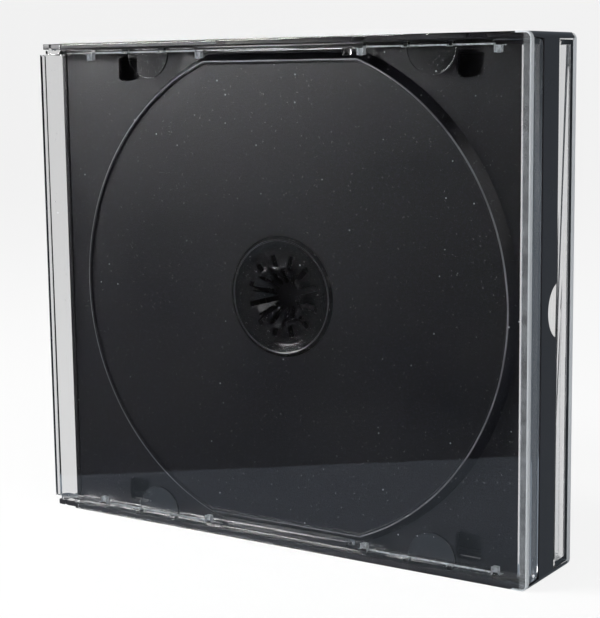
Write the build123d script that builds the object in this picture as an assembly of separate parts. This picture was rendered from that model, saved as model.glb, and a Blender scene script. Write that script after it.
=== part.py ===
"""A 24 mm deep case for several discs, standing on its long edge.

A black frame carries a front disc tray and, behind it, a two-sided disc tray
that swings out to the rear. A clear cover closes each face. Both covers turn
on studs at the left end of the frame's top and bottom walls.

Lengths are in millimetres. The pieces are drawn with X along the width from
the hinge end, Y from the front face to the rear face and Z up, and are moved
at the end so that the origin is the middle of the underside.
"""

import os
from math import radians, tan

from build123d import *

# Whole case
CASE_WIDTH = 142.0
CASE_DEPTH = 24.0
CASE_HEIGHT = 125.0
CORNER_RADIUS = 1.6

# Clear covers
PANEL_THICKNESS = 1.2
PANEL_EDGE_RADIUS = 0.4
LIP_THICKNESS = 1.2
LIP_ROOT_WIDTH = 2.6
LIP_ROOT_DEPTH = 2.8
LIP_CORNER_RADIUS = 1.5
FLANGE_THICKNESS = 1.1
FRONT_LIP_DEPTH = 5.8
FRONT_FLANGE_DEPTH = 5.0
HINGE_NOTCH_WIDTH = 7.0
HINGE_NOTCH_HEIGHT = 2.8
EDGE_BEAD_WIDTH = 1.0
EDGE_BEAD_DEPTH = 0.8

# Cover hinges
HINGE_INSET = 2.5
HINGE_FROM_FACE = 2.4
STUD_RADIUS = 1.0
STUD_LENGTH = 1.2
ARM_RADIUS = 1.8
HINGE_CLEARANCE = 0.06

# Booklet tabs, the moulding windows beside them and the nibs that stop a booklet
TAB_RADIUS = 6.4
TAB_THICKNESS = 0.8
TAB_FROM_FACE = 3.2
TAB_FROM_HINGE_END = 34.2
TAB_FROM_OPEN_END = 26.0
WINDOW_DEPTH = 1.5
WINDOW_WIDTH = 10.2
WINDOW_RIB = 1.4
WINDOWS_EACH = 3
NIB_SIZE = 1.6
NIB_PAIR_SPACING = 4.0

# Black frame
FRAME_WALL = 1.4
HINGE_WALL_INSET = 3.0
HINGE_WALL_FROM_FACE = 6.0
HINGE_WALL = 1.4
BAND_WALL = 1.6
BAND_START = 6.4
BAND_DEPTH = 8.1
FINGER_NOTCH_HEIGHT = 12.6
FINGER_NOTCH_DEPTH = 4.4
FINGER_NOTCH_EASE = 1.5
SEAT_RAIL_THICKNESS = 0.8
SEAT_RAIL_HEIGHT = 1.4
CATCH_WIDTH = 9.0
CATCH_HEIGHT = 0.9
CATCH_THICKNESS = 0.5
CATCH_FROM_HINGE_END = 20.0
CATCH_FROM_OPEN_END = 16.0

# Disc seats, one on the front tray and one on each side of the swing tray
DISC_OFF_CENTRE = 1.6
DISC_RADIUS = 60.0
DISC_CLEARANCE = 0.8
SEAT_FLAT_INSET = 5.9
SEAT_RIM = 0.7
SEAT_RECESS = 0.6

# Front tray
TRAY_WALL = 1.2
TRAY_CORNER_FACE = 6.0
SEAT_RISE = 3.0
SEAT_DRAFT_ANGLE = 28.0
PETAL_COUNT = 12
PETAL_SLOT_WIDTH = 1.3
PETAL_SLOT_REACH = 10.3
HUB_CROWN_RADIUS = 7.4
HUB_BEAD = 0.25
HUB_WALL = 0.7
HUB_EYE_RADIUS = 3.0
HUB_FUNNEL_DEPTH = 4.4
DISH_RADIUS = 14.0
DISH_WALL_WIDTH = 2.0
DISH_DEPTH = 1.0
DISH_RIM_WIDTH = 0.5
PANEL_CLEARANCE = 0.3
CORNER_WINDOW_FROM_TAB = 11.8
CORNER_WINDOW_WIDTH = 6.6
CORNER_WINDOW_HEIGHT = 6.2
CORNER_WINDOW_INSET = 3.6
CORNER_WINDOW_RADIUS = 1.2

# Swing tray
SWING_WEB = 1.2
SWING_BORDER = 1.2
SWING_RIB = 1.2
SWING_PIN_RADIUS = 1.0
SWING_PIN_INSET = 2.0
SWING_PIN_FROM_REAR = 1.2
SWING_CROWN_RISE = 1.9
SWING_SEAT_RING = 0.4
SWING_SEAT_RING_WIDTH = 2.0

# Clearances between pieces
WALL_GAP = 0.2
SLIDE_GAP = 0.3
LIP_GAP = 0.5
SWING_GAP = 0.6

# Length of the tools that cut right through a wall
CUT_LENGTH = 20.0

# Heights and depths that several pieces share
FLANGE_TOP = CASE_HEIGHT - FRAME_WALL - SLIDE_GAP
FLANGE_UNDER = FLANGE_TOP - FLANGE_THICKNESS
BAND_END = BAND_START + BAND_DEPTH
TRAY_BACK = TRAY_CORNER_FACE + TRAY_WALL
SEAT_RIM_FACE = TRAY_CORNER_FACE - SEAT_RISE
SEAT_FLOOR = SEAT_RIM_FACE + SEAT_RECESS
MIDDLE = CASE_HEIGHT / 2
DISC_CENTRE = (HINGE_WALL_INSET + CASE_WIDTH) / 2 + DISC_OFF_CENTRE
SEAT_HALF_HEIGHT = MIDDLE - SEAT_FLAT_INSET
TAB_PLACES = (TAB_FROM_HINGE_END, CASE_WIDTH - TAB_FROM_OPEN_END)
REAR_COVER_DEPTH = CASE_DEPTH - BAND_END - LIP_GAP
SEAT_RADIUS = DISC_RADIUS + DISC_CLEARANCE
RAIL_FRONT = TRAY_BACK + WALL_GAP
SWING_REAR = BAND_END - SLIDE_GAP
SWING_FRONT = RAIL_FRONT + SEAT_RAIL_THICKNESS + SWING_GAP
SWING_DEPTH = SWING_REAR - SWING_FRONT
SWING_TOP = FLANGE_UNDER - LIP_GAP
SWING_LEFT = HINGE_WALL_INSET + HINGE_WALL + SWING_GAP
SWING_RIGHT = CASE_WIDTH - BAND_WALL - LIP_GAP


def block(left, right, front, rear, low, high):
    """Return a box between two faces along each direction."""
    size = (right - left, rear - front, high - low)
    return Pos(left, front, low) * Box(*size, align=(Align.MIN, Align.MIN, Align.MIN))


def upright(outline, front, thickness, taper=0.0):
    """Stand a flat outline up and thicken it towards the rear."""
    # Drawn lying down, its underside becomes the rear face, so that a taper narrows it to the front.
    solid = extrude(outline, amount=thickness, taper=taper)
    return Pos(0, front + thickness, 0) * Rot(90, 0, 0) * solid


def top_and_bottom(piece):
    """Return a piece made for the top edge together with its twin at the bottom."""
    low = mirror(piece, Plane.XY.offset(MIDDLE))
    return piece, low


def face_outline():
    """The case seen from the front, rounded at the two corners away from the hinges."""
    outline = Pos(CASE_WIDTH / 2, MIDDLE) * Rectangle(CASE_WIDTH, CASE_HEIGHT)
    right_corners = outline.vertices().group_by(Axis.X)[-1]
    return fillet(right_corners, CORNER_RADIUS)


def cover_panel():
    """The flat clear face, cut away at the hinge corners and rounded at the others."""
    outline = face_outline()
    notch = Rectangle(HINGE_NOTCH_WIDTH, HINGE_NOTCH_HEIGHT, align=(Align.MIN, Align.MIN))
    outline -= notch
    outline -= Pos(0, CASE_HEIGHT - HINGE_NOTCH_HEIGHT) * notch
    panel = upright(outline, 0, PANEL_THICKNESS)
    face_edges = panel.faces().sort_by(Axis.Y)[0].edges()
    return fillet(face_edges, PANEL_EDGE_RADIUS)


def cover_flange(depth):
    """The top flange and the arm that carries it to the hinge."""
    flange = block(HINGE_NOTCH_WIDTH, CASE_WIDTH - PANEL_EDGE_RADIUS, PANEL_THICKNESS / 2, depth,
                   FLANGE_UNDER, FLANGE_TOP)
    arm = block(HINGE_INSET, HINGE_NOTCH_WIDTH + ARM_RADIUS, HINGE_FROM_FACE - ARM_RADIUS,
                HINGE_FROM_FACE + ARM_RADIUS, FLANGE_UNDER, FLANGE_TOP)
    hinge_axis = Pos(HINGE_INSET, HINGE_FROM_FACE, FLANGE_UNDER)
    upward = (Align.CENTER, Align.CENTER, Align.MIN)
    boss = hinge_axis * Cylinder(ARM_RADIUS, FLANGE_THICKNESS, align=upward)
    stud = hinge_axis * Cylinder(STUD_RADIUS, FLANGE_THICKNESS + SLIDE_GAP + STUD_LENGTH, align=upward)
    return flange + arm + boss + stud


def booklet_tab(place):
    """A half-round tab that holds a booklet against the panel."""
    edge = Pos(place, FLANGE_UNDER)
    half_disc = Circle(TAB_RADIUS) & Rectangle(2 * TAB_RADIUS, TAB_RADIUS, align=(Align.CENTER, Align.MAX))
    root = Rectangle(TAB_RADIUS, FLANGE_THICKNESS, align=(Align.CENTER, Align.MIN))
    return upright(edge * (half_disc + root), TAB_FROM_FACE, TAB_THICKNESS)


def flange_windows(place):
    """The row of moulding windows through the top flange beside a booklet tab."""
    windows = []
    for index in range(WINDOWS_EACH):
        centre = place + (index - (WINDOWS_EACH - 1) / 2) * (WINDOW_WIDTH + WINDOW_RIB)
        windows.append(block(centre - WINDOW_WIDTH / 2, centre + WINDOW_WIDTH / 2,
                             PANEL_THICKNESS, PANEL_THICKNESS + WINDOW_DEPTH,
                             FLANGE_UNDER - SLIDE_GAP, FLANGE_TOP + SLIDE_GAP))
    return windows


def nib_places():
    """Where the nibs stand: at both ends of each row of windows, with one more beside the inner one."""
    row_half = (WINDOWS_EACH * WINDOW_WIDTH + (WINDOWS_EACH - 1) * WINDOW_RIB) / 2
    reach = row_half + NIB_SIZE / 2
    places = [tab + side * reach for tab in TAB_PLACES for side in (-1, 1)]
    places.append(TAB_PLACES[-1] - reach - NIB_PAIR_SPACING)
    return places


def nib(place):
    """A small block under the top flange, in the corner between it and the panel."""
    return block(place - NIB_SIZE / 2, place + NIB_SIZE / 2,
                 PANEL_THICKNESS / 2, PANEL_THICKNESS + WINDOW_DEPTH,
                 FLANGE_UNDER - NIB_SIZE, FLANGE_UNDER + FLANGE_THICKNESS / 2)


def cover_lip(depth):
    """The lip along the opening side, thicker at its root and rounded at its free corners."""
    height = 2 * (FLANGE_TOP - MIDDLE)
    outline = Pos(PANEL_THICKNESS / 2, MIDDLE) * Rectangle(
        depth - PANEL_THICKNESS / 2, height, align=(Align.MIN, Align.CENTER))
    outline = fillet(outline.vertices().group_by(Axis.X)[-1], LIP_CORNER_RADIUS)
    lip = Pos(CASE_WIDTH - LIP_THICKNESS, 0, 0) * extrude(Plane.YZ * outline, amount=LIP_THICKNESS)
    root = block(CASE_WIDTH - LIP_ROOT_WIDTH, CASE_WIDTH, PANEL_THICKNESS / 2, LIP_ROOT_DEPTH,
                 CASE_HEIGHT - FLANGE_TOP, FLANGE_TOP)
    return lip + root


def clear_cover(lip_depth, flange_depth, has_tabs):
    """A clear cover, drawn as the front one: panel, opening lip, two flanges and hinge arms."""
    bead = block(0, EDGE_BEAD_WIDTH, PANEL_THICKNESS / 2, PANEL_THICKNESS + EDGE_BEAD_DEPTH,
                 HINGE_NOTCH_HEIGHT, CASE_HEIGHT - HINGE_NOTCH_HEIGHT)
    cover = cover_panel() + cover_lip(lip_depth) + bead
    for flange in top_and_bottom(cover_flange(flange_depth)):
        cover += flange
    if has_tabs:
        for place in TAB_PLACES:
            for window in flange_windows(place):
                for cut in top_and_bottom(window):
                    cover -= cut
            for tab in top_and_bottom(booklet_tab(place)):
                cover += tab
        for place in nib_places():
            for stop in top_and_bottom(nib(place)):
                cover += stop
    return cover


def front_cover():
    """The front cover, with its booklet tabs."""
    return clear_cover(FRONT_LIP_DEPTH, FRONT_FLANGE_DEPTH, True)


def rear_cover():
    """The deeper rear cover, which is plain inside."""
    drawn_as_front = clear_cover(REAR_COVER_DEPTH, REAR_COVER_DEPTH, False)
    return Pos(0, CASE_DEPTH, 0) * mirror(drawn_as_front, Plane.XZ)


def frame_band():
    """The opening side of the frame, with the finger notch cut into it."""
    outline = Pos(BAND_START, 0) * Rectangle(BAND_DEPTH, CASE_HEIGHT, align=(Align.MIN, Align.MIN))
    half = FINGER_NOTCH_HEIGHT / 2
    radius = (half ** 2 + FINGER_NOTCH_DEPTH ** 2) / (2 * FINGER_NOTCH_DEPTH)
    outline -= Pos(BAND_END - FINGER_NOTCH_DEPTH + radius, MIDDLE) * Circle(radius)
    mouth = outline.vertices().filter_by(lambda v: abs(v.Y - MIDDLE) < FINGER_NOTCH_HEIGHT)
    outline = fillet(mouth, FINGER_NOTCH_EASE)
    return Pos(CASE_WIDTH - BAND_WALL, 0, 0) * extrude(Plane.YZ * outline, amount=BAND_WALL)


def frame_wall():
    """The top wall, drilled for the cover studs and the swing tray's pin."""
    inset = PANEL_THICKNESS + WALL_GAP
    low = CASE_HEIGHT - FRAME_WALL
    wall = block(0, CASE_WIDTH, inset, CASE_DEPTH - inset, low, CASE_HEIGHT)
    hole = Cylinder(STUD_RADIUS + HINGE_CLEARANCE, CUT_LENGTH)
    for depth in (HINGE_FROM_FACE, CASE_DEPTH - HINGE_FROM_FACE):
        wall -= Pos(HINGE_INSET, depth, low) * hole
    pin_hole = Cylinder(SWING_PIN_RADIUS + HINGE_CLEARANCE, CUT_LENGTH)
    wall -= Pos(SWING_LEFT + SWING_PIN_INSET, SWING_REAR - SWING_PIN_FROM_REAR, low) * pin_hole
    return wall


def hinge_wall():
    """The wall beside the hinges, cut back at its rear corners for the rear cover's flanges."""
    wall = block(HINGE_WALL_INSET, HINGE_WALL_INSET + HINGE_WALL, HINGE_WALL_FROM_FACE,
                 CASE_DEPTH - HINGE_WALL_FROM_FACE, FRAME_WALL / 2, CASE_HEIGHT - FRAME_WALL / 2)
    rear_flange = block(0, HINGE_WALL_INSET + HINGE_WALL + SLIDE_GAP,
                        CASE_DEPTH - REAR_COVER_DEPTH - SLIDE_GAP, CASE_DEPTH,
                        FLANGE_UNDER - SLIDE_GAP, CASE_HEIGHT - FRAME_WALL)
    for cut in top_and_bottom(rear_flange):
        wall -= cut
    return wall


def frame_rail():
    """The ledge behind the front tray and the catches before it, on the top wall."""
    high = CASE_HEIGHT - FRAME_WALL / 2
    rail = block(HINGE_WALL_INSET + HINGE_WALL / 2, CASE_WIDTH - BAND_WALL / 2, RAIL_FRONT,
                 RAIL_FRONT + SEAT_RAIL_THICKNESS, CASE_HEIGHT - FRAME_WALL - SEAT_RAIL_HEIGHT, high)
    catch_rear = TRAY_CORNER_FACE - WALL_GAP
    for place in (CATCH_FROM_HINGE_END, CASE_WIDTH - CATCH_FROM_OPEN_END):
        rail += block(place - CATCH_WIDTH / 2, place + CATCH_WIDTH / 2, catch_rear - CATCH_THICKNESS,
                      catch_rear, CASE_HEIGHT - FRAME_WALL - CATCH_HEIGHT, high)
    return rail


def centre_frame():
    """The black frame between the two covers."""
    frame = frame_band() + hinge_wall()
    for wall in top_and_bottom(frame_wall()):
        frame += wall
    for rail in top_and_bottom(frame_rail()):
        frame += rail
    return frame & upright(face_outline(), 0, CASE_DEPTH)


def seat_outline(grow):
    """A disc's circle with flat top and bottom, grown outward by a given amount."""
    circle = Circle(SEAT_RADIUS + grow)
    band = Rectangle(2 * (SEAT_RADIUS + grow), 2 * (SEAT_HALF_HEIGHT + grow))
    return Pos(DISC_CENTRE, MIDDLE) * (circle & band)


def petal_slots(reach, eye):
    """Radial slots that divide a hub into petals, round the Z axis."""
    slots = []
    for index in range(PETAL_COUNT):
        angle = 360 * (index + 0.5) / PETAL_COUNT
        length = reach - eye
        slot = Pos(eye + length / 2, 0) * Box(length, PETAL_SLOT_WIDTH, CUT_LENGTH)
        slots.append(Rot(0, 0, angle) * slot)
    return slots


def front_hub():
    """The front hub round the Z axis: a dish whose petals rise, turn in and run down to an eye."""
    seat = SEAT_RECESS + TRAY_WALL
    dish_floor = seat - DISH_DEPTH
    crown = SEAT_FLOOR + TRAY_WALL - PANEL_THICKNESS - PANEL_CLEARANCE
    inner = HUB_CROWN_RADIUS - HUB_WALL
    funnel_foot = crown - HUB_FUNNEL_DEPTH
    section = Polyline(
        (DISH_RADIUS + 2 * DISH_RIM_WIDTH, 0),
        (DISH_RADIUS + 2 * DISH_RIM_WIDTH, TRAY_WALL),
        (DISH_RADIUS + DISH_RIM_WIDTH, seat),
        (DISH_RADIUS, seat),
        (DISH_RADIUS - DISH_WALL_WIDTH, dish_floor),
        (HUB_CROWN_RADIUS, dish_floor),
        (HUB_CROWN_RADIUS, crown - HUB_WALL),
        (HUB_CROWN_RADIUS + HUB_BEAD, crown - HUB_WALL / 2),
        (HUB_CROWN_RADIUS, crown),
        (inner, crown),
        (HUB_EYE_RADIUS, funnel_foot),
        (HUB_EYE_RADIUS, funnel_foot - HUB_WALL),
        (HUB_EYE_RADIUS + HUB_WALL, funnel_foot - HUB_WALL),
        (inner, crown - 2 * HUB_WALL),
        (inner, 0),
        close=True,
    )
    hub = revolve(Plane.XZ * make_face(section), Axis.Z)
    for slot in petal_slots(PETAL_SLOT_REACH, 0):
        hub -= slot
    return hub


def corner_windows():
    """The four rounded windows in the tray's corners, beside the cover's tabs."""
    windows = []
    for tab, side in zip(TAB_PLACES, (-1, 1)):
        centre = tab + side * (CORNER_WINDOW_FROM_TAB - CORNER_WINDOW_WIDTH / 2)
        high = CASE_HEIGHT - CORNER_WINDOW_INSET
        outline = Pos(centre, high - CORNER_WINDOW_HEIGHT / 2) * RectangleRounded(
            CORNER_WINDOW_WIDTH, CORNER_WINDOW_HEIGHT, CORNER_WINDOW_RADIUS)
        windows.extend(top_and_bottom(upright(outline, SEAT_RIM_FACE, TRAY_BACK)))
    return windows


def front_tray():
    """The front disc tray: a thin plate whose disc seat stands proud of the corners."""
    left = HINGE_WALL_INSET + HINGE_WALL + SLIDE_GAP
    right = CASE_WIDTH - BAND_WALL - SLIDE_GAP
    low = FRAME_WALL + SLIDE_GAP
    high = CASE_HEIGHT - low
    tray = block(left, right, TRAY_CORNER_FACE, TRAY_BACK, low, high)
    spread = SEAT_RISE * tan(radians(SEAT_DRAFT_ANGLE))
    rise = SEAT_RISE + TRAY_WALL / 2
    foot = spread * rise / SEAT_RISE
    outer = upright(seat_outline(SEAT_RIM + foot), SEAT_RIM_FACE, rise, SEAT_DRAFT_ANGLE)
    hollow_depth = TRAY_BACK - SEAT_FLOOR - TRAY_WALL
    hollow_foot = hollow_depth * tan(radians(SEAT_DRAFT_ANGLE))
    hollow = upright(seat_outline(hollow_foot - TRAY_WALL / 2), SEAT_FLOOR + TRAY_WALL, hollow_depth,
                     SEAT_DRAFT_ANGLE)
    recess = upright(seat_outline(0), SEAT_RIM_FACE, SEAT_RECESS)
    tray = tray + outer - hollow - recess
    tray &= block(left, right, SEAT_RIM_FACE, TRAY_BACK, low, high)
    for window in corner_windows():
        tray -= window
    hub_place = Pos(DISC_CENTRE, SEAT_FLOOR + TRAY_WALL, MIDDLE) * Rot(90, 0, 0)
    tray -= hub_place * Cylinder(DISH_RADIUS + DISH_RIM_WIDTH, CUT_LENGTH)
    return tray + hub_place * front_hub()


def swing_hub():
    """The two-sided hub round the Z axis, half above and half below the web."""
    inner = HUB_CROWN_RADIUS - HUB_WALL
    half_web = SWING_WEB / 2
    crown = half_web + SWING_CROWN_RISE
    seat = half_web + SWING_SEAT_RING
    ring_inner = DISH_RADIUS - SWING_SEAT_RING_WIDTH
    section = Polyline(
        (0, 0),
        (0, half_web),
        (inner, half_web),
        (inner, crown),
        (HUB_CROWN_RADIUS, crown),
        (HUB_CROWN_RADIUS, half_web),
        (ring_inner, half_web),
        (ring_inner, seat),
        (DISH_RADIUS, seat),
        (DISH_RADIUS, 0),
        close=True,
    )
    upper = revolve(Plane.XZ * make_face(section), Axis.Z)
    hub = upper + mirror(upper, Plane.XY)
    for slot in petal_slots(PETAL_SLOT_REACH, inner - HUB_WALL):
        hub -= slot
    return hub


def swing_tray():
    """The two-sided tray that swings out to the rear on two pins."""
    low = CASE_HEIGHT - SWING_TOP
    outline = Pos(SWING_LEFT, low) * Rectangle(SWING_RIGHT - SWING_LEFT, SWING_TOP - low,
                                               align=(Align.MIN, Align.MIN))
    inner = offset(outline, amount=-SWING_BORDER, kind=Kind.INTERSECTION)
    border = upright(outline - inner, SWING_FRONT, SWING_DEPTH)
    web_front = (SWING_FRONT + SWING_REAR - SWING_WEB) / 2
    web = upright(outline, web_front, SWING_WEB)
    disc_wall = upright((seat_outline(SWING_RIB) - seat_outline(0)) & outline, SWING_FRONT, SWING_DEPTH)
    hub_place = Pos(DISC_CENTRE, web_front + SWING_WEB / 2, MIDDLE) * Rot(90, 0, 0)
    web -= hub_place * Cylinder(DISH_RADIUS - SWING_SEAT_RING_WIDTH / 2, CUT_LENGTH)
    tray = border + web + disc_wall + hub_place * swing_hub()
    pin_height = SWING_TOP + LIP_GAP + FLANGE_THICKNESS + SLIDE_GAP + STUD_LENGTH
    pin = Pos(SWING_LEFT + SWING_PIN_INSET, SWING_REAR - SWING_PIN_FROM_REAR, MIDDLE) * Cylinder(
        SWING_PIN_RADIUS, 2 * (pin_height - MIDDLE))
    return tray + pin


def write_parts():
    """Build every piece, move it to the case's origin and write one file for each."""
    pieces = {
        "centre_frame": centre_frame(),
        "front_tray": front_tray(),
        "swing_tray": swing_tray(),
        "front_cover": front_cover(),
        "rear_cover": rear_cover(),
    }
    os.makedirs("parts", exist_ok=True)
    for name, piece in pieces.items():
        export_step(Pos(-CASE_WIDTH / 2, -CASE_DEPTH / 2, 0) * piece, f"parts/{name}.step")


write_parts()
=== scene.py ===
"""Dresses a deep clear case for several discs: rounded edges, plastics and a studio.

Every length is in metres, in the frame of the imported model: X along the width away
from the hinges, Y from the front cover to the rear cover, Z up from the standing edge.
"""

import math

import bmesh
import bpy
from bpy.props import FloatProperty, FloatVectorProperty, IntProperty, PointerProperty
from mathutils import Matrix, Vector


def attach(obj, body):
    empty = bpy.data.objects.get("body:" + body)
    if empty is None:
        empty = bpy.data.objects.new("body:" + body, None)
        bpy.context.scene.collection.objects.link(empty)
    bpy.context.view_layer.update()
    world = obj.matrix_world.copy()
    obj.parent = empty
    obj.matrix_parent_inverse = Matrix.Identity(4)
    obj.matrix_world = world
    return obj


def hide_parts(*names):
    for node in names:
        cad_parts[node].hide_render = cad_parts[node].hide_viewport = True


bl_info = {
    "name": "Multi-disc case",
    "version": (1, 0, 0),
    "blender": (4, 5, 0),
    "location": "3D View > Sidebar > Disc case",
    "description": "Finishes a clear hinged case with black disc trays",
    "category": "Add Mesh",
}

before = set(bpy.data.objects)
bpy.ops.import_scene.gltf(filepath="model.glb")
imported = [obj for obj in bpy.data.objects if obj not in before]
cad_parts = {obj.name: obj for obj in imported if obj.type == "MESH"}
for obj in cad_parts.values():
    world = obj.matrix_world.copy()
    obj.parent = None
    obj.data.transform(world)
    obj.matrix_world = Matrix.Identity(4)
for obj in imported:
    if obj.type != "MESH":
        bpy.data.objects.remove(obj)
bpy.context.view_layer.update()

CLEAR_COVERS = {"front_cover": "front_cover", "rear_cover": "rear_cover"}
BLACK_MOULDINGS = {"centre_frame": "frame", "front_tray": "frame", "swing_tray": "swing_tray"}
PHOTO_WIDTH = 600

# Clean-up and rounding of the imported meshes.
MERGE_DISTANCE = 1e-6
FLAT_ANGLE = math.radians(0.5)
SHARP_ANGLE = math.radians(25)
CREASE_ANGLE = math.radians(50)
SHORTEST_ROUNDED = 0.0005
CLEAR_WIDTHS = 3.0

# Places on the case that the surface masks and the added pieces are set out from.
CASE_MIDDLE = 0.0625
DISC_CENTRE = 0.0031
REAR_FACE_CENTRE = (DISC_CENTRE, 0.0001, CASE_MIDDLE)
# Place of the thin black skin that acts as painted shade in the swing tray's hub slots.
HUB_SHADE_SKIN_PLACE = (DISC_CENTRE, -0.0005, CASE_MIDDLE)
HUB_SHADE_SKIN_SIDES = 48
MARK_SIDES = 24

SEAT_EDGE_RADIUS = 0.0615
SEAT_EDGE_HALF_HEIGHT = 0.0573
SEAT_EDGE_INSIDE = -0.00022
SEAT_EDGE_OUTSIDE = 0.00012
SEAT_EDGE_DEPTH = -0.0085

HUB_SMOOTH_RADIUS = 0.0150
HUB_SMOOTH_DEPTH = -0.0020
DISH_EDGE_RADII = (0.01375, 0.01405)
DISH_EDGE_DEPTH = -0.0080

WINDOW_ROWS = (-0.0368, 0.0450)
WINDOW_ROW_HALF = 0.0192
WINDOW_EDGE_HEIGHTS = (0.0580, 0.0601)
WINDOW_EDGE_DEPTHS = (-0.01075, -0.0092)

RIM_CORNER_ACROSS = 0.0694
RIM_CORNER_HEIGHT = 0.0609
RIM_CORNER_RADIUS = 0.00125
RIM_START = 0.067
RIM_DEPTH = -0.0107
REAR_EDGE_START = 0.0705
REAR_EDGE_DEPTH = 0.0098
MARGIN_START = 0.0691
MARGIN_DEPTH = -0.0119

# Dust colour, also used for the painted highlights and the painted glow on the clear covers.
DUST_AND_HIGHLIGHT_COLOUR = (0.72, 0.76, 0.80)
# Pale colour of the painted highlights on the trays' seat and dish edges.
EDGE_HIGHLIGHT_COLOUR = (0.34, 0.34, 0.37)
HUB_COLOUR = (0.012, 0.012, 0.014)
SHEET_COLOUR = (0.74, 0.86, 1.0)
WHITE = (1.0, 1.0, 1.0)
BLACK_INDEX = 1.5
HUB_ROUGHNESS = 0.20

# The floor and backdrop, and where the pale sheet that the front cover mirrors slants to.
SWEEP_HALF_WIDTH = 3.0
SWEEP_FRONT = -3.0
SWEEP_REAR = 2.4
SWEEP_HEIGHT = 2.4
SWEEP_BEND = 0.9
SWEEP_STEPS = 12
SHEET_SLANT = 0.85
LIGHTS_AIM = (0.0, 0.0, 0.06)


class CaseSizes(bpy.types.PropertyGroup):
    """Sizes of the finish on the moulded pieces."""

    cover_edge: FloatProperty(
        name="Cover edge radius", description="Rounding of the clear covers' edges",
        default=0.00018, unit="LENGTH")
    tray_edge: FloatProperty(
        name="Tray edge radius", description="Rounding of the black mouldings' edges",
        default=0.00018, unit="LENGTH")
    rounding_steps: IntProperty(
        name="Rounding steps", description="Faces across each rounded edge",
        default=2, min=1, max=4)
    pin_mark_radius: FloatProperty(
        name="Ejector mark radius", description="Radius of the marks that ejector pins leave",
        default=0.0016, unit="LENGTH")
    pin_mark_height: FloatProperty(
        name="Ejector mark height", description="How far an ejector mark stands out",
        default=0.00006, unit="LENGTH")
    pin_mark_circle: FloatProperty(
        name="Ejector mark circle", description="Radius of the circle that the marks lie on",
        default=0.045, unit="LENGTH")
    pin_mark_count: IntProperty(
        name="Ejector marks", description="Number of ejector marks round a tray",
        default=8, min=3)
    pin_mark_centre: FloatVectorProperty(
        name="Ejector mark centre", description="Disc centre on the swing tray's rear face",
        subtype="TRANSLATION", default=REAR_FACE_CENTRE)
    # Painted shade: a thin black skin across the hub, a guess at the hidden hub, so that its slots
    # show dark.
    shade_skin_radius: FloatProperty(
        name="Hub skin radius", description="Radius of the thin skin across the swing tray's hub",
        default=0.0108, unit="LENGTH")
    shade_skin_thickness: FloatProperty(
        name="Hub skin thickness", description="Thickness of the skin that closes the hub's slots",
        default=0.0001, unit="LENGTH")


class CaseFinishes(bpy.types.PropertyGroup):
    """Colours and surface values of the plastics."""

    clear_tint: FloatVectorProperty(
        name="Clear plastic", description="Tint of the clear covers",
        subtype="COLOR", default=(0.984, 0.986, 0.99), min=0.0, max=1.0)
    clear_index: FloatProperty(
        name="Clear refraction", description="Refractive index of the clear covers",
        default=1.5)
    frame_colour: FloatVectorProperty(
        name="Frame black", description="Colour of the smooth black frame",
        subtype="COLOR", default=(0.0115, 0.0108, 0.0130), min=0.0, max=1.0)
    tray_colour: FloatVectorProperty(
        name="Tray black", description="Colour of the grained black trays",
        subtype="COLOR", default=(0.0036, 0.0034, 0.0066), min=0.0, max=1.0)
    grain_size: FloatProperty(
        name="Grain size", description="Spacing of the trays' moulded grain",
        default=0.00045, unit="LENGTH")


class StudioSettings(bpy.types.PropertyGroup):
    """Camera, lights and backdrop."""

    camera_place: FloatVectorProperty(
        name="Camera place", description="Where the camera stands", subtype="TRANSLATION",
        default=(0.2173, -0.3222, 0.1163))
    camera_turn: FloatProperty(
        name="Camera turn", description="Angle round the case, away from its front",
        subtype="ANGLE", default=math.radians(33.68))
    camera_dip: FloatProperty(
        name="Camera dip", description="Angle that the camera looks down by",
        subtype="ANGLE", default=math.radians(8.53))
    camera_roll: FloatProperty(
        name="Camera roll", description="Tilt of the camera about its line of sight",
        subtype="ANGLE", default=math.radians(-0.73))
    focal_pixels: FloatProperty(
        name="Focal length in pixels", description="Focal length for a frame 600 pixels wide",
        default=1564.0)
    key_power: FloatProperty(
        name="Key light", description="Power of the light at the upper left", default=4.1)
    fill_power: FloatProperty(
        name="Fill light", description="Power of the soft light at the right", default=2.5)
    top_power: FloatProperty(
        name="Top light", description="Power of the light overhead", default=3.0)
    room_strength: FloatProperty(
        name="Room light", description="Strength of the light all round", default=0.20)
    mirrored_glow: FloatProperty(
        name="Mirrored room", description="Strength of the darkened room that shiny faces mirror",
        default=0.012)
    mirrored_sheet: FloatProperty(
        name="Mirrored sheet", description="Strength of the pale sheet that shiny faces mirror",
        default=0.28)
    seen_through: FloatProperty(
        name="Seen through", description="Strength of the pale backdrop behind clear plastic",
        default=0.74)
    seen_share: FloatProperty(
        name="Seen through share", description="Share of that backdrop in what clear plastic shows",
        default=0.9, subtype="FACTOR")
    sheet_edge: FloatProperty(
        name="Pale sheet", description="How far out the sheet reaches that the front cover mirrors",
        default=0.113, unit="LENGTH")
    floor_colour: FloatVectorProperty(
        name="Floor", description="Colour of the floor and backdrop", subtype="COLOR",
        default=(0.86, 0.86, 0.86), min=0.0, max=1.0)
    floor_glow: FloatProperty(
        name="Backdrop white", description="Share of plain white that the camera sees in the floor",
        default=0.86, subtype="FACTOR")
    far_white: FloatProperty(
        name="Far white", description="Strength of the white beyond the floor and backdrop",
        default=0.9)


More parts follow.
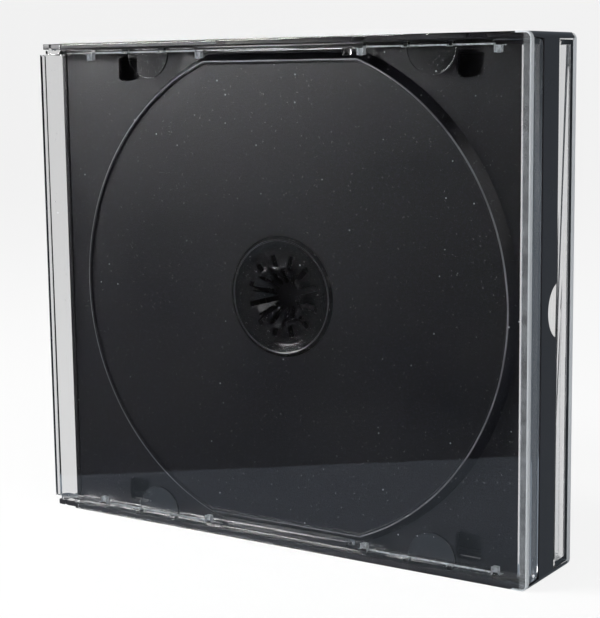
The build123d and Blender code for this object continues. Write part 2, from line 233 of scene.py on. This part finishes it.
class Wire:
    """A node socket that Python expressions can be written on."""

    def __init__(self, graph, socket):
        self.graph = graph
        self.socket = socket

    def _math(self, operation, first, second=0.0):
        return self.graph.node("ShaderNodeMath", {"operation": operation}, {0: first, 1: second})

    def __add__(self, other):
        return self._math("ADD", self, other)

    __radd__ = __add__

    def __mul__(self, other):
        return self._math("MULTIPLY", self, other)

    __rmul__ = __mul__

    def __sub__(self, other):
        return self._math("SUBTRACT", self, other)

    def __rsub__(self, other):
        return self._math("SUBTRACT", other, self)

    def __gt__(self, other):
        return self._math("GREATER_THAN", self, other)

    def __lt__(self, other):
        return self._math("LESS_THAN", self, other)

    def size(self):
        """The value without its sign."""
        return self._math("ABSOLUTE", self)

    def root(self):
        """The square root."""
        return self._math("SQRT", self)

    def either(self, other):
        """The larger of two masks."""
        return self._math("MAXIMUM", self, other)


class Graph:
    """A material's node tree, filled through one method."""

    def __init__(self, name):
        self.material = bpy.data.materials.new(name)
        self.material.use_nodes = True
        self.tree = self.material.node_tree
        self.tree.nodes.clear()

    @classmethod
    def of_tree(cls, tree):
        """A graph on a node tree that is already there, emptied first."""
        graph = cls.__new__(cls)
        graph.tree = tree
        tree.nodes.clear()
        return graph

    def node(self, kind, settings=None, inputs=None, output=0):
        """Add a node, make its settings, then fill its sockets with values or wires."""
        made = self.tree.nodes.new(kind)
        for key, value in (settings or {}).items():
            if key == "stops":
                self._stops(made.color_ramp, value)
            else:
                setattr(made, key, value)
        for key, value in (inputs or {}).items():
            socket = made.inputs[key]
            if isinstance(value, Wire):
                self.tree.links.new(value.socket, socket)
            else:
                socket.default_value = value
        if not made.outputs:
            return made
        return Wire(self, made.outputs[output])

    @staticmethod
    def _stops(ramp, stops):
        while len(ramp.elements) < len(stops):
            ramp.elements.new(0.5)
        for element, (place, colour) in zip(ramp.elements, stops):
            element.position = place
            element.color = colour

    def place(self):
        """Object coordinates, which are the row frame's metres."""
        return self.node("ShaderNodeTexCoord", output="Object")

    def axes(self):
        """The X, Y and Z of the object coordinates."""
        across = self.node("ShaderNodeSeparateXYZ", {}, {0: self.place()}, output="X")
        outputs = across.socket.node.outputs
        return across, Wire(self, outputs["Y"]), Wire(self, outputs["Z"])

    def noise(self, spacing, detail=2.0):
        """A noise whose features are about as far apart as the spacing."""
        return self.node("ShaderNodeTexNoise", {}, {
            "Vector": self.place(), "Scale": 1.0 / spacing, "Detail": detail, "Roughness": 0.5})

    def stretched(self, scale, turn):
        """Object coordinates stretched along one direction, for scratches."""
        return self.node("ShaderNodeMapping", {}, {
            "Vector": self.place(), "Scale": scale, "Rotation": turn})

    def ramp(self, value, low, high):
        """A value taken from 0 to 1 between two levels."""
        return self.node("ShaderNodeMapRange", {"clamp": True}, {
            "Value": value, "From Min": low, "From Max": high, "To Min": 0.0, "To Max": 1.0})

    def blend(self, share, first, second):
        """Two colours mixed by a mask."""
        mixed = self.node("ShaderNodeMix", {"data_type": "RGBA"}, {0: share}, output=2)
        node = mixed.socket.node
        for index, value in ((6, first), (7, second)):
            if isinstance(value, Wire):
                self.tree.links.new(value.socket, node.inputs[index])
            else:
                node.inputs[index].default_value = value
        return mixed

    def mix(self, share, first, second):
        """Two shaders mixed by a mask."""
        return self.node("ShaderNodeMixShader", {}, {0: share, 1: first, 2: second})

    def glow(self, strength, colour=WHITE):
        """A plain glow."""
        return self.node("ShaderNodeEmission", {}, {"Color": opaque(colour), "Strength": strength})

    def light_path(self, in_front):
        """Masks for rays from the camera, through clear plastic, and mirrored towards the front."""
        names = ("Is Camera Ray", "Is Transmission Ray", "Diffuse Depth", "Glossy Depth")
        outputs = self.node("ShaderNodeLightPath").socket.node.outputs
        camera, through, scattered, mirrored = (Wire(self, outputs[name]) for name in names)
        seen = scattered < 0.5
        return camera, through * seen, (mirrored > 0.5) * seen * in_front.either(1.0 - through)

    def bump(self, height, strength, distance):
        """A normal that follows a height."""
        return self.node("ShaderNodeBump", {}, {
            "Height": height, "Strength": strength, "Distance": distance})

    def finish(self, surface):
        """Send a shader to the surface output."""
        self.node("ShaderNodeOutputMaterial", {}, {"Surface": surface})
        return self.material


def opaque(colour):
    """A colour with full alpha."""
    return (*colour, 1.0)


def dust_specks(graph, spacing, size, share):
    """A mask of small round specks, on a share of the cells that it divides space into."""
    cells = graph.node("ShaderNodeTexVoronoi", {"feature": "F1"}, {
        "Vector": graph.place(), "Scale": 1.0 / spacing, "Randomness": 1.0})
    near = cells < size
    patch = graph.noise(spacing * 2.3, 0.0)
    return near * (patch > share)


def fine_scratches(graph, angle, share):
    """A mask of thin straight scratches that lie along one direction on the faces."""
    along = graph.stretched((30.0, 1.0, 1400.0), (0.0, angle, 0.0))
    streak = graph.node("ShaderNodeTexNoise", {}, {"Vector": along, "Scale": 1.0, "Detail": 1.0})
    patch = graph.noise(0.021, 1.0)
    return graph.ramp(streak, 0.74, 0.80) * graph.ramp(patch, share, share + 0.06)


def painted_window_highlights(graph):
    """A mask of painted highlights on the moulding windows' walls and the nibs, where pale colour
    stands in for the light that their cut faces catch.
    """
    across, away, up = graph.axes()
    left, right = ((across - centre).size() < WINDOW_ROW_HALF for centre in WINDOW_ROWS)
    from_middle = (up - CASE_MIDDLE).size()
    low, high = WINDOW_EDGE_HEIGHTS
    inner_edge = (from_middle > low) * (from_middle < high)
    front, back = WINDOW_EDGE_DEPTHS
    return inner_edge * left.either(right) * (away > front) * (away < back)


def painted_rim_highlight(graph):
    """A mask of a painted highlight on the front panel's outer edge at the opening side, where pale
    colour stands in for the light that the edge guides out.
    """
    across, away, up = graph.axes()
    beside = (across - RIM_CORNER_ACROSS).either(0.0)
    above = ((up - CASE_MIDDLE).size() - RIM_CORNER_HEIGHT).either(0.0)
    outside = (beside * beside + above * above).root() > RIM_CORNER_RADIUS
    return outside * (across > RIM_START) * (away < RIM_DEPTH)


def painted_rear_edge_light(graph):
    """A mask of painted light on the rear panel's edge at the opening side, where pale colour
    stands in for the light seen there.
    """
    across, away, _ = graph.axes()
    return (across > REAR_EDGE_START) * (away > REAR_EDGE_DEPTH)


def painted_margin_glow(graph):
    """A mask of a painted glow on the front face before the lip's thick root, where pale colour
    stands in for soft light.
    """
    across, away, _ = graph.axes()
    return (across > MARGIN_START) * (away < MARGIN_DEPTH)


def clear_plastic(finishes):
    """Clear polystyrene with dust, fine scratches, a slight waviness, and painted highlights and a
    painted glow on its edges.
    """
    graph = Graph("clear_polystyrene")
    scratches = fine_scratches(graph, 0.5, 0.52).either(fine_scratches(graph, -0.9, 0.56))
    waviness = graph.noise(0.018, 1.0)
    surface = graph.node("ShaderNodeBsdfPrincipled", {}, {
        "Base Color": opaque(finishes.clear_tint),
        "Roughness": scratches * 0.16 + 0.015,
        "IOR": finishes.clear_index,
        "Transmission Weight": 1.0,
        "Normal": graph.bump(waviness + scratches * 0.01, 0.02, 0.0004),
    })
    # This pale shader is real dust and also the painted highlights and painted glow.
    dust_and_highlight = graph.node("ShaderNodeBsdfPrincipled", {}, {
        "Base Color": opaque(DUST_AND_HIGHLIGHT_COLOUR), "Roughness": 0.8})
    specks = dust_specks(graph, 0.0042, 0.045, 0.56) * 0.5
    fine_dust = dust_specks(graph, 0.0017, 0.10, 0.50) * 0.20
    mottle = graph.ramp(graph.noise(0.0022, 2.0), 0.35, 0.65)
    glints = graph.ramp(graph.noise(0.0008, 1.0), 0.40, 0.55)
    # Painted highlight: pale colour on the window edges and nibs, broken up by glints.
    painted_window_highlight = painted_window_highlights(graph) * (glints * 0.35 + 0.60)
    # Painted highlights: pale colour on the front panel's opening edge and on the rear panel's
    # edge.
    painted_edge_highlights = (painted_rim_highlight(graph) * 0.75).either(painted_rear_edge_light(graph) * 0.9)
    # Painted glow: a faint mottled pale share on the front face's margin.
    margin_glow = painted_margin_glow(graph) * (mottle * 0.08 + 0.09)
    share = specks.either(fine_dust).either(painted_window_highlight).either(painted_edge_highlights).either(margin_glow)
    return graph.finish(graph.mix(share, surface, dust_and_highlight))


def disc_places(graph):
    """The distance from the disc's axis, and how far outside the seat's outline a place lies."""
    across, _, up = graph.axes()
    beside = across - DISC_CENTRE
    above = (up - CASE_MIDDLE).size()
    radius = (beside * beside + above * above).root()
    return radius, (radius - SEAT_EDGE_RADIUS).either(above - SEAT_EDGE_HALF_HEIGHT)


def grained_black(finishes):
    """Black polystyrene with the fine spark grain of a disc tray, smooth in the front hub, with
    painted highlight lines on the seat and dish edges.
    """
    graph = Graph("grained_black")
    grain = graph.noise(finishes.grain_size, 3.0)
    cloud = graph.noise(0.03, 2.0)
    away = graph.axes()[1]
    radius, outward = disc_places(graph)
    hub = (radius < HUB_SMOOTH_RADIUS) * (away < HUB_SMOOTH_DEPTH)
    base = finishes.tray_colour
    light = tuple(min(1.0, channel * 3.0) for channel in base)
    colour = graph.blend(graph.ramp(grain, 0.50, 0.66) * (1.0 - hub), opaque(base), opaque(light))
    # Painted highlight: pale lines on the seat's edge and, fainter, on the dish's edge stand in for
    # the light that these rounded edges catch.
    seat_edge = (outward > SEAT_EDGE_INSIDE) * (outward < SEAT_EDGE_OUTSIDE)
    inner, outer = DISH_EDGE_RADII
    dish_edge = (radius > inner) * (radius < outer) * (away < DISH_EDGE_DEPTH)
    edges = (seat_edge * (away < SEAT_EDGE_DEPTH)).either(dish_edge * 0.2)
    painted_tray_edge_highlight = edges * (graph.ramp(graph.noise(0.02, 2.0), 0.35, 0.65) * 0.6 + 0.4)
    colour = graph.blend(hub, colour, opaque(HUB_COLOUR))
    colour = graph.blend(painted_tray_edge_highlight, colour, opaque(EDGE_HIGHLIGHT_COLOUR))
    grained = graph.ramp(cloud, 0.3, 0.7) * 0.12 + graph.ramp(grain, 0.3, 0.7) * 0.12 + 0.27
    surface = graph.node("ShaderNodeBsdfPrincipled", {}, {
        "Base Color": colour,
        "Roughness": hub * HUB_ROUGHNESS + (1.0 - hub) * grained,
        "IOR": BLACK_INDEX,
        "Normal": graph.bump(grain * (1.0 - hub), 0.6, 0.00008),
    })
    return graph.finish(surface)


def smooth_black(finishes):
    """Smooth black polystyrene with faint handling marks."""
    graph = Graph("smooth_black")
    cloud = graph.noise(0.012, 3.0)
    scratches = fine_scratches(graph, 1.5, 0.5)
    base = finishes.frame_colour
    light = tuple(min(1.0, channel * 1.6) for channel in base)
    surface = graph.node("ShaderNodeBsdfPrincipled", {}, {
        "Base Color": graph.blend(graph.ramp(cloud, 0.35, 0.75), opaque(base), opaque(light)),
        "Roughness": graph.ramp(cloud, 0.3, 0.7) * 0.1 + scratches * 0.2 + 0.26,
        "IOR": BLACK_INDEX,
        "Normal": graph.bump(cloud, 0.08, 0.0001),
    })
    return graph.finish(surface)


def can_be_rounded(edge, radius):
    """Whether a merged edge is sharp, and long and clear enough for a rounding of this radius."""
    if len(edge.link_faces) != 2 or edge.calc_length() < SHORTEST_ROUNDED:
        return False
    least_area = CLEAR_WIDTHS * radius * edge.calc_length()
    return (edge.calc_face_angle() > SHARP_ANGLE
            and all(face.calc_area() > least_area for face in edge.link_faces))


def merged_mesh(node, radius, steps):
    """A copy of a CAD node's mesh with its corners merged and its clear edges rounded."""
    shape = bmesh.new()
    shape.from_mesh(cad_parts[node].data)
    bmesh.ops.remove_doubles(shape, verts=shape.verts, dist=MERGE_DISTANCE)
    bmesh.ops.dissolve_limit(shape, angle_limit=FLAT_ANGLE, verts=shape.verts, edges=shape.edges)
    rounded = [edge for edge in shape.edges if can_be_rounded(edge, radius)]
    bmesh.ops.bevel(shape, geom=rounded, offset=radius, offset_type="OFFSET", segments=steps,
                    profile=0.5, affect="EDGES", clamp_overlap=False)
    for face in shape.faces:
        face.smooth = True
    mesh = bpy.data.meshes.new(node + "_moulding")
    shape.to_mesh(mesh)
    shape.free()
    mesh.set_sharp_from_angle(angle=CREASE_ANGLE)
    return mesh


def settle(piece):
    """Turn an object's modifiers into plain mesh."""
    ready = piece.evaluated_get(bpy.context.evaluated_depsgraph_get())
    mesh = bpy.data.meshes.new_from_object(ready)
    piece.modifiers.clear()
    piece.data = mesh


def moulding(node, body, radius, steps, material):
    """Replace a CAD node by the same shape with softly rounded edges."""
    piece = bpy.data.objects.new(node + "_moulding", merged_mesh(node, radius, steps))
    bpy.context.scene.collection.objects.link(piece)
    shading = piece.modifiers.new("Flat faces stay flat", "WEIGHTED_NORMAL")
    shading.keep_sharp = True
    settle(piece)
    piece.data.materials.clear()
    piece.data.materials.append(material)
    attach(piece, body)
    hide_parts(node)


class MarkTree:
    """A geometry node tree that sets round marks out on a circle."""

    INPUTS = (
        ("Count", "NodeSocketInt"),
        ("Circle radius", "NodeSocketFloat"),
        ("Mark radius", "NodeSocketFloat"),
        ("Mark height", "NodeSocketFloat"),
        ("Centre", "NodeSocketVector"),
        ("Finish", "NodeSocketMaterial"),
    )

    def __init__(self):
        self.tree = bpy.data.node_groups.new("ejector_marks", "GeometryNodeTree")
        self.sockets = {}
        for name, kind in self.INPUTS:
            made = self.tree.interface.new_socket(name=name, in_out="INPUT", socket_type=kind)
            self.sockets[name] = made.identifier
        self.tree.interface.new_socket(
            name="Geometry", in_out="OUTPUT", socket_type="NodeSocketGeometry")
        self.given = self.tree.nodes.new("NodeGroupInput")
        self.build()

    def node(self, kind, settings, inputs):
        """Add a node with its settings and with values or links on its sockets."""
        made = self.tree.nodes.new(kind)
        for key, value in settings.items():
            setattr(made, key, value)
        for key, value in inputs.items():
            if isinstance(value, bpy.types.NodeSocket):
                self.tree.links.new(value, made.inputs[key])
            else:
                made.inputs[key].default_value = value
        return made

    def build(self):
        """Round marks on a standing circle, turned to stand out along Y."""
        given = self.given.outputs
        circle = self.node("GeometryNodeMeshCircle", {}, {
            "Vertices": given["Count"], "Radius": given["Circle radius"]})
        mark = self.node("GeometryNodeMeshCylinder", {}, {
            "Vertices": MARK_SIDES, "Radius": given["Mark radius"], "Depth": given["Mark height"]})
        marks = self.node("GeometryNodeInstanceOnPoints", {}, {
            "Points": circle.outputs["Mesh"], "Instance": mark.outputs["Mesh"]})
        turned = self.node("GeometryNodeTransform", {}, {
            "Geometry": marks.outputs["Instances"], "Translation": given["Centre"],
            "Rotation": (math.radians(90), 0.0, 0.0)})
        real = self.node("GeometryNodeRealizeInstances", {}, {
            "Geometry": turned.outputs["Geometry"]})
        finished = self.node("GeometryNodeSetMaterial", {}, {
            "Geometry": real.outputs["Geometry"], "Material": given["Finish"]})
        self.node("NodeGroupOutput", {}, {"Geometry": finished.outputs["Geometry"]})


class CASE_OT_ejector_marks(bpy.types.Operator):
    """Set out the round marks that the mould's ejector pins leave on the swing tray"""

    bl_idname = "case.ejector_marks"
    bl_label = "Ejector marks"

    def execute(self, context):
        sizes = context.scene.case_sizes
        tree = MarkTree()
        mesh = bpy.data.meshes.new("tray_ejector_marks")
        marks = bpy.data.objects.new("tray_ejector_marks", mesh)
        context.scene.collection.objects.link(marks)
        setting_out = marks.modifiers.new("Marks", "NODES")
        setting_out.node_group = tree.tree
        values = {
            "Count": sizes.pin_mark_count,
            "Circle radius": sizes.pin_mark_circle,
            "Mark radius": sizes.pin_mark_radius,
            "Mark height": 2 * sizes.pin_mark_height,
            "Centre": sizes.pin_mark_centre,
            "Finish": bpy.data.materials["grained_black"],
        }
        for name, value in values.items():
            setting_out[tree.sockets[name]] = value
        settle(marks)
        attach(marks, "swing_tray")
        return {"FINISHED"}


class CASE_OT_hub_shade_skin(bpy.types.Operator):
    """Close the slots of the swing tray's hub with a thin black skin, a guess at the hidden hub put
    there as painted shade, as no light shows through them
    """

    bl_idname = "case.hub_skin"
    bl_label = "Hub skin"

    def execute(self, context):
        sizes = context.scene.case_sizes
        shape = bmesh.new()
        bmesh.ops.create_cone(
            shape, cap_ends=True, segments=HUB_SHADE_SKIN_SIDES, radius1=sizes.shade_skin_radius,
            radius2=sizes.shade_skin_radius, depth=sizes.shade_skin_thickness,
            matrix=Matrix.Translation(HUB_SHADE_SKIN_PLACE) @ Matrix.Rotation(math.radians(90), 4, "X"))
        mesh = bpy.data.meshes.new("swing_hub_shade_skin")
        shape.to_mesh(mesh)
        shape.free()
        skin = bpy.data.objects.new("swing_hub_shade_skin", mesh)
        context.scene.collection.objects.link(skin)
        mesh.materials.append(bpy.data.materials["grained_black"])
        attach(skin, "swing_tray")
        return {"FINISHED"}


class CASE_OT_clear_covers(bpy.types.Operator):
    """Finish the two clear covers"""

    bl_idname = "case.clear_covers"
    bl_label = "Clear covers"

    def execute(self, context):
        sizes = context.scene.case_sizes
        clear = clear_plastic(context.scene.case_finishes)
        for node, body in CLEAR_COVERS.items():
            moulding(node, body, sizes.cover_edge, sizes.rounding_steps, clear)
        return {"FINISHED"}


class CASE_OT_black_mouldings(bpy.types.Operator):
    """Finish the black frame and the two disc trays"""

    bl_idname = "case.black_mouldings"
    bl_label = "Frame and trays"

    def execute(self, context):
        sizes = context.scene.case_sizes
        finishes = context.scene.case_finishes
        materials = {"centre_frame": smooth_black(finishes)}
        grained = grained_black(finishes)
        for node, body in BLACK_MOULDINGS.items():
            material = materials.get(node, grained)
            moulding(node, body, sizes.tray_edge, sizes.rounding_steps, material)
        return {"FINISHED"}


class CASE_OT_studio(bpy.types.Operator):
    """Set up the floor, the backdrop, the lights and the camera"""

    bl_idname = "case.studio"
    bl_label = "Studio"

    def execute(self, context):
        studio = context.scene.case_studio
        self.sweep(studio)
        self.lights(studio)
        self.room(context.scene, studio)
        self.camera(context.scene, studio)
        context.scene.view_settings.view_transform = "Standard"
        return {"FINISHED"}

    @staticmethod
    def sweep(studio):
        """A floor that curves up into a backdrop."""
        foot = SWEEP_REAR - SWEEP_BEND
        profile = [(SWEEP_FRONT, 0.0), (foot, 0.0)]
        for step in range(1, SWEEP_STEPS + 1):
            angle = math.pi / 2 * step / SWEEP_STEPS
            profile.append((foot + SWEEP_BEND * math.sin(angle),
                            SWEEP_BEND - SWEEP_BEND * math.cos(angle)))
        profile.append((SWEEP_REAR, SWEEP_HEIGHT))
        mesh = bpy.data.meshes.new("studio_sweep")
        corners = [(x, y, z) for y, z in profile for x in (-SWEEP_HALF_WIDTH, SWEEP_HALF_WIDTH)]
        faces = [(2 * i, 2 * i + 1, 2 * i + 3, 2 * i + 2) for i in range(len(profile) - 1)]
        mesh.from_pydata(corners, [], faces)
        for face in mesh.polygons:
            face.use_smooth = True
        sweep = bpy.data.objects.new("studio_sweep", mesh)
        bpy.context.scene.collection.objects.link(sweep)
        graph = Graph("studio_white")
        paint = graph.node("ShaderNodeBsdfPrincipled", {}, {
            "Base Color": opaque(studio.floor_colour), "Roughness": 0.9})
        white = graph.glow(1.0)
        behind = graph.glow(studio.seen_through)
        mirrored = graph.glow(studio.mirrored_glow)
        mirrored_sheet = graph.glow(studio.mirrored_sheet, SHEET_COLOUR)
        across, away, _ = graph.axes()
        camera, through, mirror = graph.light_path(away < 0.0)
        sheet = (away + across * SHEET_SLANT) > -studio.sheet_edge
        surface = graph.mix(camera * studio.floor_glow, paint, white)
        surface = graph.mix(through * studio.seen_share, surface, behind)
        surface = graph.mix(mirror, surface, graph.mix(sheet, mirrored, mirrored_sheet))
        mesh.materials.append(graph.finish(surface))

    @staticmethod
    def lights(studio):
        """A soft light at the upper left, a wider one at the right and one overhead."""
        plans = (
            ("key_light", studio.key_power, 0.18, Vector((-0.40, -0.45, 0.25))),
            ("fill_light", studio.fill_power, 0.6, Vector((0.70, -0.30, 0.60))),
            ("top_light", studio.top_power, 0.12, Vector((-0.38, -0.25, 0.70))),
        )
        target = Vector(LIGHTS_AIM)
        for name, power, size, place in plans:
            lamp = bpy.data.lights.new(name, "AREA")
            lamp.energy = power
            lamp.size = size
            light = bpy.data.objects.new(name, lamp)
            light.location = place
            light.rotation_euler = (target - place).to_track_quat("-Z", "Y").to_euler()
            bpy.context.scene.collection.objects.link(light)

    @staticmethod
    def room(scene, studio):
        """Even light from all round, white beyond the backdrop."""
        world = bpy.data.worlds.new("room")
        world.use_nodes = True
        graph = Graph.of_tree(world.node_tree)
        lit = graph.node("ShaderNodeBackground", {}, {"Strength": studio.room_strength})
        mirrored = graph.node("ShaderNodeBackground", {}, {"Strength": studio.mirrored_glow})
        behind = graph.node("ShaderNodeBackground", {}, {"Strength": studio.seen_through})
        white = graph.node("ShaderNodeBackground", {}, {
            "Color": opaque(WHITE), "Strength": studio.far_white})
        ahead = graph.node("ShaderNodeSeparateXYZ", {}, {0: graph.node(
            "ShaderNodeTexCoord", output="Generated")}, output="Y")
        camera, through, mirror = graph.light_path(ahead < 0.0)
        surface = graph.mix(camera, graph.mix(through, lit, behind), white)
        surface = graph.mix(mirror, surface, mirrored)
        graph.node("ShaderNodeOutputWorld", {}, {"Surface": surface})
        scene.world = world

    @staticmethod
    def camera(scene, studio):
        """A camera where the photograph was taken from."""
        turn, dip, roll = studio.camera_turn, studio.camera_dip, studio.camera_roll
        ahead = Vector((-math.sin(turn) * math.cos(dip), math.cos(turn) * math.cos(dip),
                        -math.sin(dip)))
        right = Vector((math.cos(turn), math.sin(turn), 0.0))
        above = right.cross(ahead)
        level_right = right * math.cos(roll) + above * math.sin(roll)
        level_above = above * math.cos(roll) - right * math.sin(roll)
        lens = bpy.data.cameras.new("camera")
        lens.sensor_fit = "HORIZONTAL"
        lens.sensor_width = 36.0
        lens.lens = studio.focal_pixels * lens.sensor_width / PHOTO_WIDTH
        lens.clip_start = 0.01
        camera = bpy.data.objects.new("camera", lens)
        turned = Matrix((level_right, level_above, -ahead)).transposed()
        camera.matrix_world = Matrix.Translation(studio.camera_place) @ turned.to_4x4()
        scene.collection.objects.link(camera)
        scene.camera = camera


class CASE_PT_panel(bpy.types.Panel):
    """Lists the steps that finish the case"""

    bl_idname = "CASE_PT_panel"
    bl_label = "Disc case"
    bl_space_type = "VIEW_3D"
    bl_region_type = "UI"
    bl_category = "Disc case"

    def draw(self, context):
        for settings in ("case_sizes", "case_finishes", "case_studio"):
            box = self.layout.box()
            group = getattr(context.scene, settings)
            for name in group.bl_rna.properties.keys():
                if name not in ("rna_type", "name"):
                    box.prop(group, name)
        for operator in STEPS:
            self.layout.operator(operator.bl_idname)


STEPS = (CASE_OT_clear_covers, CASE_OT_black_mouldings, CASE_OT_ejector_marks, CASE_OT_hub_shade_skin,
         CASE_OT_studio)
GROUPS = {"case_sizes": CaseSizes, "case_finishes": CaseFinishes, "case_studio": StudioSettings}
CLASSES = (*GROUPS.values(), *STEPS, CASE_PT_panel)


def register():
    for item in CLASSES:
        bpy.utils.register_class(item)
    for name, group in GROUPS.items():
        setattr(bpy.types.Scene, name, PointerProperty(type=group))


def unregister():
    for name in GROUPS:
        delattr(bpy.types.Scene, name)
    for item in reversed(CLASSES):
        bpy.utils.unregister_class(item)


def corners(box):
    """A box's two corners as plain lists."""
    return [[float(value) for value in corner] for corner in box]


def main():
    register()
    bpy.ops.case.studio()
    bpy.ops.case.clear_covers()
    bpy.ops.case.black_mouldings()
    bpy.ops.case.ejector_marks()
    bpy.ops.case.hub_skin()


if __name__ == "__main__":
    main()
